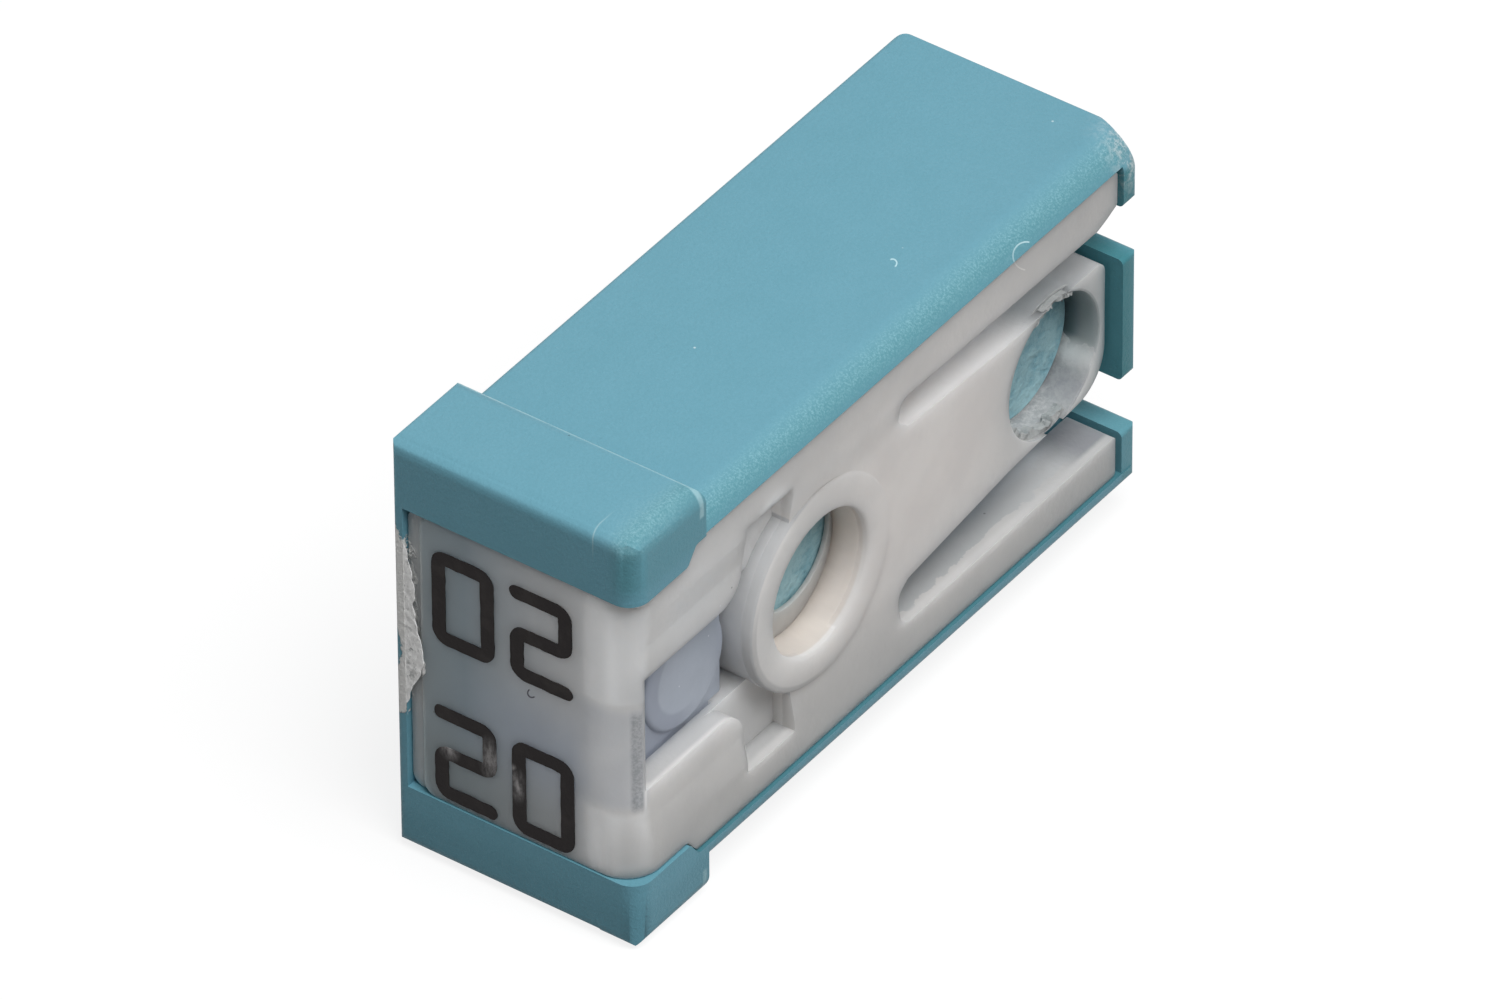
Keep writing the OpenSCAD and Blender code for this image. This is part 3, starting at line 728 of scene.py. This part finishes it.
def tin_pill():
    """A lump of tin that has flowed on the melting strip: a disc with a softly domed face."""
    bm = bmesh.new()
    bmesh.ops.create_cone(bm, cap_ends=True, segments=64, radius1=PILL_R, radius2=PILL_R,
                          depth=PILL_BACK - PILL_FRONT)
    rim = [edge for edge in bm.edges if all(vert.co.z > 0 for vert in edge.verts)]
    bmesh.ops.bevel(bm, geom=rim, offset=PILL_ROUND, segments=5, affect="EDGES", profile=0.5,
                    material=-1)
    face = max(bm.faces, key=lambda face: face.calc_center_median().z)
    for _ in range(DOME_RINGS):
        bmesh.ops.inset_individual(bm, faces=[face], thickness=DOME_RING)
        bmesh.ops.translate(bm, verts=face.verts, vec=(0, 0, DOME_RISE))
    for vert in bm.verts:
        if vert.co.z > 0:
            swell = noise.noise(Vector((vert.co.x, vert.co.y, 0)) * 0.9)
            vert.co.z += PILL_SWELL * swell
            vert.co.xy *= 1 - PILL_SHRINK * abs(swell)
    # The flat skirt of tin under the pill fills the window.
    place = Matrix.LocRotScale(SKIRT_MIDDLE, None, SKIRT_SIZE)
    skirt = bmesh.ops.create_cube(bm, size=1.0, matrix=place)["verts"]
    outline = list({edge for vert in skirt for edge in vert.link_edges})
    bmesh.ops.bevel(bm, geom=outline, offset=SKIRT_ROUND, segments=3, affect="EDGES", profile=0.5,
                    material=-1)
    drawn_to_place(bm, PILL_X, (PILL_FRONT + PILL_BACK) / 2, 0)
    bmesh.ops.recalc_face_normals(bm, faces=bm.faces[:])
    for face in bm.faces:
        face.smooth = len(face.verts) < 10 or face.normal.y < 0
    piece = new_piece("tin_lump", bm, dull_tin())
    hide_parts("tin_pill")


# ---------------------------------------------------------------- flash and torn plastic

FLASH_DEPTH = 1.06
FLASH_WIDTH = 0.34
FLASH_SHIFT = 0.22
FLASH_THICKNESS = 0.12


def post_flash():
    """A thin crescent of the cover's plastic that stands over the low side of the first post."""
    bm = bmesh.new()
    bmesh.ops.create_circle(bm, cap_ends=True, segments=64, radius=POST_R - 0.01)
    face = max(bm.faces, key=lambda face: len(face.verts))
    bmesh.ops.inset_individual(bm, faces=[face], thickness=FLASH_WIDTH, use_even_offset=True)
    bmesh.ops.translate(bm, verts=face.verts, vec=(FLASH_SHIFT, FLASH_SHIFT, 0))
    bmesh.ops.delete(bm, geom=[face], context="FACES")
    bmesh.ops.solidify(bm, geom=bm.faces[:], thickness=FLASH_THICKNESS)
    drawn_to_place(bm, FIRST_POST, FLASH_DEPTH, 0)
    bmesh.ops.recalc_face_normals(bm, faces=bm.faces[:])
    piece = new_piece("post_flash", bm, FROSTED)
    soft_edges(piece, width=0.03)


# The white flap torn up from the head panel's edge, drawn in y and z, and how far back it may reach.
FLAP_OUTLINE = [
    (5.97, 2.90), (5.88, 2.74), (5.81, 2.37), (5.69, 1.98), (5.65, 1.65), (5.71, 1.22),
    (5.64, 0.80), (5.54, 0.37), (5.45, 0.01), (5.45, -0.18), (5.56, -0.58), (5.73, -0.92),
    (5.84, -1.30), (5.97, -1.62), (5.97, -0.50), (5.93, -0.22), (5.97, 0.04)]
FLAP_BACK = 5.98
FLAP_THICKNESS = 0.035


def crumpled(co):
    """The flap's thickness at a place."""
    return FLAP_THICKNESS * (0.72 + 0.28 * noise.noise(Vector((co.x, co.y, 0)) * 7))


def torn_flap():
    """The thin ragged flap of torn plastic that lies on the head panel beside the back wall."""
    bm = flat_face(FLAP_OUTLINE)
    bmesh.ops.recalc_face_normals(bm, faces=bm.faces[:])
    bmesh.ops.subdivide_edges(bm, edges=bm.edges[:], cuts=5)
    roughen(bm, reach=0.06, scale=4, seed=3.0)
    bmesh.ops.triangulate(bm, faces=bm.faces[:])
    bmesh.ops.subdivide_edges(bm, edges=bm.edges[:], cuts=2, use_grid_fill=True)
    thicken(bm, crumpled)
    for vert in bm.verts:
        y, z, out = vert.co
        vert.co = at(PANEL_X - out, min(y, FLAP_BACK), z)
    bmesh.ops.recalc_face_normals(bm, faces=bm.faces[:])
    finish = torn_white("torn_flap", pale=(0.88, 0.88, 0.87), light=(1.0, 1.0, 0.99), lean=1.2)
    new_piece("torn_flap", bm, finish)


LIP_WIDTH = 0.22
# How far the torn edge of a lip wanders: a share of its radius, and mm in depth.
LIP_WANDER = 0.10
LIP_RIPPLE = 0.12


def torn_lip(name, start, turn, depth, thickness, finish):
    """A ragged lip of torn plastic inside the mouth of the second hole, swept round the post."""
    wall = POST_R + 0.03
    profile = [(wall, 0), (wall - thickness, 0), (wall - thickness * 0.7, LIP_WIDTH), (wall, LIP_WIDTH)]
    bm = bmesh.new()
    a = math.radians(start)
    ring = [bm.verts.new((r * math.cos(a), r * math.sin(a), -inward)) for r, inward in profile]
    edges = [bm.edges.new((ring[i - 1], ring[i])) for i in range(len(ring))]
    bmesh.ops.contextual_create(bm, geom=edges)
    bmesh.ops.spin(bm, geom=bm.verts[:] + bm.edges[:] + bm.faces[:], cent=(0, 0, 0), axis=(0, 0, 1),
                   angle=math.radians(turn), steps=48, use_merge=False)
    for vert in bm.verts:
        if vert.co.xy.length < wall - 0.01:
            wander = noise.noise(Vector((vert.co.x, vert.co.y, depth)) * 4.5)
            vert.co.xy *= 1 - LIP_WANDER * (abs(wander) - 0.2 * wander)
            vert.co.z += LIP_RIPPLE * noise.noise(Vector((vert.co.y, vert.co.x, depth)) * 6)
    drawn_to_place(bm, SECOND_POST, depth, 0)
    bmesh.ops.recalc_face_normals(bm, faces=bm.faces[:])
    new_piece(name, bm, finish)


# ---------------------------------------------------------------- the printed rating

DIGIT_WIDTH = 1.59
DIGIT_HEIGHT = 2.46
INK_STROKE = 0.35
INK_THICKNESS = 0.012
OUTER_ROUND = 0.37
INNER_ROUND = 0.04
UPPER_ROW = 0.55
LOWER_ROW = -3.59
LEFT_DIGIT = 5.21
RIGHT_DIGIT = 3.22


def round_corners(bm, corners, radius):
    """Rounds the corners of a flat face."""
    bmesh.ops.bevel(bm, geom=corners, offset=radius, segments=6, affect="VERTICES", profile=0.5,
                    material=-1)


def print_digit(name, bm, left, bottom, material):
    """Roughens the edge of a flat digit, gives the ink its thickness and lays it on the head panel."""
    long_edges = [edge for edge in bm.edges if edge.is_boundary and edge.calc_length() > 0.12]
    bmesh.ops.subdivide_edges(bm, edges=long_edges, cuts=9)
    roughen(bm, reach=0.016, scale=5, left=left, bottom=bottom)
    thicken(bm, lambda co: INK_THICKNESS)
    for vert in bm.verts:
        across, up, out = vert.co
        vert.co = at(PANEL_X - out, left - across, bottom + up)
    bmesh.ops.recalc_face_normals(bm, faces=bm.faces[:])
    new_piece(name, bm, material)


def print_zero(name, left, bottom, material):
    """A squared 0: a rounded face with its middle taken out."""
    w, h = DIGIT_WIDTH, DIGIT_HEIGHT
    bm = flat_face([(0, 0), (w, 0), (w, h), (0, h)])
    round_corners(bm, bm.verts[:], OUTER_ROUND)
    middle = bm.faces[:]
    bmesh.ops.inset_individual(bm, faces=middle, thickness=INK_STROKE, use_even_offset=True)
    bmesh.ops.delete(bm, geom=middle, context="FACES")
    print_digit(name, bm, left, bottom, material)


def print_two(name, left, bottom, material):
    """A squared 2: three bars and the two uprights between them, round at its open ends."""
    w, h, s = DIGIT_WIDTH, DIGIT_HEIGHT, INK_STROKE
    low, high = (h - s) / 2, (h + s) / 2
    corners = [
        ((0, h), "end"), ((0, h - s), "end"), ((w - s, h - s), "in"), ((w - s, high), "in"),
        ((0, high), "out"), ((0, 0), "out"), ((w, 0), "end"), ((w, s), "end"),
        ((s, s), "in"), ((s, low), "in"), ((w, low), "out"), ((w, h), "out")]
    bm = flat_face([corner for corner, _ in corners])
    kinds = [(vert, kind) for vert, (_, kind) in zip(bm.verts, corners)]
    for wanted, radius in (("out", OUTER_ROUND), ("end", s * 0.49), ("in", INNER_ROUND)):
        round_corners(bm, [vert for vert, kind in kinds if kind == wanted], radius)
    print_digit(name, bm, left, bottom, material)


tin_pill()
post_flash()
torn_flap()
lip_finish = torn_white("torn_lip", pale=(0.28, 0.30, 0.31), light=(0.54, 0.55, 0.54), lean=0.0)
torn_lip("torn_lip_low", start=195, turn=95, depth=0.46, thickness=0.13, finish=lip_finish)
torn_lip("torn_lip_high", start=66, turn=52, depth=0.36, thickness=0.07, finish=lip_finish)

ink = printed_ink()
print_zero("rating_upper_0", LEFT_DIGIT, UPPER_ROW, ink)
print_two("rating_upper_2", RIGHT_DIGIT, UPPER_ROW, ink)
print_two("rating_lower_2", LEFT_DIGIT, LOWER_ROW, ink)
print_zero("rating_lower_0", RIGHT_DIGIT, LOWER_ROW, ink)


# ---------------------------------------------------------------- floor, light and camera

FLOOR_SIZE = 3.0
FLOOR_SHADE = 0.18
FLOOR_GLOW = 0.84
SKY_LEVEL = 0.20


def seen_directly(tree):
    """1 for rays that show the surroundings: from the camera, in gloss and through clear matter."""
    rays = tree.nodes.new("ShaderNodeLightPath")
    seen = rays.outputs["Is Camera Ray"]
    for name in ("Is Glossy Ray", "Is Transmission Ray"):
        either = tree.nodes.new("ShaderNodeMath")
        either.operation = "MAXIMUM"
        tree.links.new(seen, either.inputs[0])
        tree.links.new(rays.outputs[name], either.inputs[1])
        seen = either.outputs[0]
    return seen


def white_floor():
    """A material that shows white and keeps a soft shadow."""
    material = bpy.data.materials.new("white_floor")
    material.use_nodes = True
    tree = material.node_tree
    tree.nodes.clear()
    paper = tree.nodes.new("ShaderNodeBsdfDiffuse")
    paper.inputs["Color"].default_value = (FLOOR_SHADE, FLOOR_SHADE, FLOOR_SHADE, 1)
    glow = tree.nodes.new("ShaderNodeEmission")
    glow.inputs["Color"].default_value = (FLOOR_GLOW, FLOOR_GLOW, FLOOR_GLOW, 1)
    tree.links.new(seen_directly(tree), glow.inputs["Strength"])
    both = tree.nodes.new("ShaderNodeAddShader")
    tree.links.new(paper.outputs[0], both.inputs[0])
    tree.links.new(glow.outputs[0], both.inputs[1])
    out = tree.nodes.new("ShaderNodeOutputMaterial")
    tree.links.new(both.outputs[0], out.inputs["Surface"])
    return material


def plain_floor():
    """The pale floor that the fuse lies on."""
    mesh = bpy.data.meshes.new("floor")
    bm = bmesh.new()
    bmesh.ops.create_grid(bm, x_segments=1, y_segments=1, size=FLOOR_SIZE)
    bm.to_mesh(mesh)
    bm.free()
    mesh.materials.append(white_floor())
    floor = bpy.data.objects.new("floor", mesh)
    bpy.context.scene.collection.objects.link(floor)


def studio_world():
    """Even pale light all round, seen as white."""
    world = bpy.data.worlds.new("studio")
    bpy.context.scene.world = world
    world.use_nodes = True
    tree = world.node_tree
    background = tree.nodes["Background"]
    background.inputs["Color"].default_value = (1, 1, 1, 1)
    strength = tree.nodes.new("ShaderNodeMapRange")
    strength.inputs["To Min"].default_value = SKY_LEVEL
    strength.inputs["To Max"].default_value = 1.0
    tree.links.new(seen_directly(tree), strength.inputs["Value"])
    tree.links.new(strength.outputs[0], background.inputs["Strength"])


def softbox(name, azimuth, elevation, distance, size, power):
    """A square lamp that looks at the middle of the fuse from the given side."""
    data = bpy.data.lights.new(name, "AREA")
    data.shape = "SQUARE"
    data.size = size
    data.energy = power
    lamp = bpy.data.objects.new(name, data)
    bpy.context.scene.collection.objects.link(lamp)
    a, e = math.radians(azimuth), math.radians(elevation)
    back = Vector((math.sin(a) * math.cos(e), -math.cos(a) * math.cos(e), math.sin(e)))
    lamp.location = (case_low + case_high) / 2 + back * distance
    lamp.rotation_mode = "QUATERNION"
    lamp.rotation_quaternion = (-back).to_track_quat("-Z", "Y")


def studio_camera(heading, drop, roll, distance, lens, target):
    """The camera stands in front of the head, to the left, and looks down at its target."""
    data = bpy.data.cameras.new("camera")
    data.sensor_width = 36
    data.lens = lens
    data.clip_start = 0.01
    data.clip_end = 20
    camera = bpy.data.objects.new("camera", data)
    bpy.context.scene.collection.objects.link(camera)
    across, down = math.radians(heading), math.radians(drop)
    toward = Vector((math.cos(down) * math.cos(across), math.cos(down) * math.sin(across),
                     -math.sin(down)))
    camera.location = target - toward * (distance * MM)
    camera.rotation_mode = "QUATERNION"
    tilt = Quaternion((0, 0, 1), math.radians(roll))
    camera.rotation_quaternion = toward.to_track_quat("-Z", "Y") @ tilt
    bpy.context.scene.camera = camera


plain_floor()
studio_world()
softbox("main_light", azimuth=-17, elevation=64, distance=0.5, size=0.3, power=2.55)
studio_camera(heading=36.03, drop=39.09, roll=-0.41, distance=398.85, lens=468.99,
              target=at(4.002, 0.074, 4.037))
bpy.context.scene.view_settings.view_transform = "Standard"
